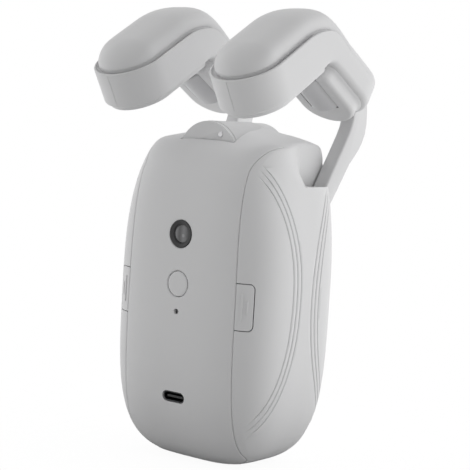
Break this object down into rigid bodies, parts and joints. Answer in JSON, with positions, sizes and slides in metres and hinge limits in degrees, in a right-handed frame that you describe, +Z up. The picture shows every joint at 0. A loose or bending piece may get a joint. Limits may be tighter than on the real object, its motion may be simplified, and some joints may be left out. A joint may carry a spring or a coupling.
{
  "type": "smart curtain robot",
  "caption": "Barrel-shaped curtain robot in light grey plastic that hangs from a curtain rod on two roller hooks and drives along it with a wheel in its top",
  "frame": {"origin": "middle of the flat base, on the mid plane between front and back", "axes": "+Z up towards the curtain rod, +X to the right seen from the front and along the rod, front faces -Y"},
  "size_m": [0.076, 0.0775, 0.1529],
  "materials": {
    "shell_plastic": "matte, very fine grain",
    "black_plastic": "gloss",
    "lens_plastic": "smoked lens",
    "tyre_rubber": "soft light grey rubber",
    "roller_plastic": "satin",
    "frame_plastic": "matte",
    "gear_plastic": "satin",
    "steel": "satin",
    "brass": "satin",
    "cell_wrap": "shrink wrap",
    "board": "solder mask",
    "dark_steel": "blackened, satin"
  },
  "bodies": {
    "housing": {"front_cover": "shell_plastic", "main_housing": "shell_plastic", "top_plate": "shell_plastic", "wheel_cradle": "shell_plastic", "wheel_bearings": "brass", "motor": "steel", "battery_cells": "cell_wrap", "battery_clip": "frame_plastic", "main_board": "board", "sensor_module": "black_plastic", "sensor_bezel": "black_plastic", "sensor_lens": "lens_plastic", "light_pipe": "lens_plastic", "key_switch": "black_plastic", "usb_shell": "dark_steel", "usb_tongue": "black_plastic", "arm_guide_left": "frame_plastic", "arm_guide_right": "frame_plastic", "cradle_screws": "steel", "board_screws": "steel", "cheek_screw": "steel"},
    "drive_wheel": {"wheel_hub": "roller_plastic", "wheel_tyre": "tyre_rubber", "wheel_gear": "gear_plastic"},
    "idler": {"idler_gear": "gear_plastic"},
    "motor_rotor": {"motor_pinion": "gear_plastic"},
    "arm_left": {"hook_arm_left": "shell_plastic", "hook_cap_left": "shell_plastic", "roller_plate_left": "shell_plastic", "roller_pins_left": "steel"},
    "front_roller_body_left": {"front_roller_left": "roller_plastic"},
    "rear_roller_body_left": {"rear_roller_left": "roller_plastic"},
    "latch_body_left": {"latch_left": "shell_plastic"},
    "arm_right": {"hook_arm_right": "shell_plastic", "hook_cap_right": "shell_plastic", "roller_plate_right": "shell_plastic", "roller_pins_right": "steel"},
    "front_roller_body_right": {"front_roller_right": "roller_plastic"},
    "rear_roller_body_right": {"rear_roller_right": "roller_plastic"},
    "latch_body_right": {"latch_right": "shell_plastic"},
    "button": {"push_button": "shell_plastic"}
  },
  "joints": [
    {"name": "drive_wheel_spin", "type": "hinge", "parent": "housing", "child": "drive_wheel", "pos_m": [0, 0, 0.1021], "axis": [0, 1, 0], "continuous": true},
    {"name": "idler_spin", "type": "hinge", "parent": "housing", "child": "idler", "pos_m": [0.00599, 0, 0.09034], "axis": [0, 1, 0], "continuous": true},
    {"name": "motor_spin", "type": "hinge", "parent": "housing", "child": "motor_rotor", "pos_m": [-0.002, 0, 0.07909], "axis": [0, 1, 0], "continuous": true},
    {"name": "arm_lift_left", "type": "slide", "parent": "housing", "child": "arm_left", "axis": [0, 0, 1], "range_m": [0, 0.022]},
    {"name": "front_roller_spin_left", "type": "hinge", "parent": "arm_left", "child": "front_roller_body_left", "pos_m": [-0.025, -0.0117, 0.13343], "axis": [0, -0.8616, -0.5075], "continuous": true},
    {"name": "rear_roller_spin_left", "type": "hinge", "parent": "arm_left", "child": "rear_roller_body_left", "pos_m": [-0.025, 0.01187, 0.13033], "axis": [0, 0.8616, -0.5075], "continuous": true},
    {"name": "latch_press_left", "type": "slide", "parent": "housing", "child": "latch_body_left", "axis": [0.4695, 0.8829, 0], "range_m": [0, 0.0012], "stiffness_N_per_m": 400, "springref_m": -0.001},
    {"name": "arm_lift_right", "type": "slide", "parent": "housing", "child": "arm_right", "axis": [0, 0, 1], "range_m": [0, 0.022]},
    {"name": "front_roller_spin_right", "type": "hinge", "parent": "arm_right", "child": "front_roller_body_right", "pos_m": [0.025, -0.0117, 0.13343], "axis": [0, -0.8616, -0.5075], "continuous": true},
    {"name": "rear_roller_spin_right", "type": "hinge", "parent": "arm_right", "child": "rear_roller_body_right", "pos_m": [0.025, 0.01187, 0.13033], "axis": [0, 0.8616, -0.5075], "continuous": true},
    {"name": "latch_press_right", "type": "slide", "parent": "housing", "child": "latch_body_right", "axis": [-0.4695, 0.8829, 0], "range_m": [0, 0.0012], "stiffness_N_per_m": 400, "springref_m": -0.001},
    {"name": "button_press", "type": "slide", "parent": "housing", "child": "button", "axis": [0, 1, 0], "range_m": [0, 0.0008], "stiffness_N_per_m": 500, "springref_m": -0.001}
  ],
  "couplings": [
    {"joint": "idler_spin", "follows": "drive_wheel_spin", "ratio": -2.6667},
    {"joint": "motor_spin", "follows": "drive_wheel_spin", "ratio": 9.6}
  ]
}
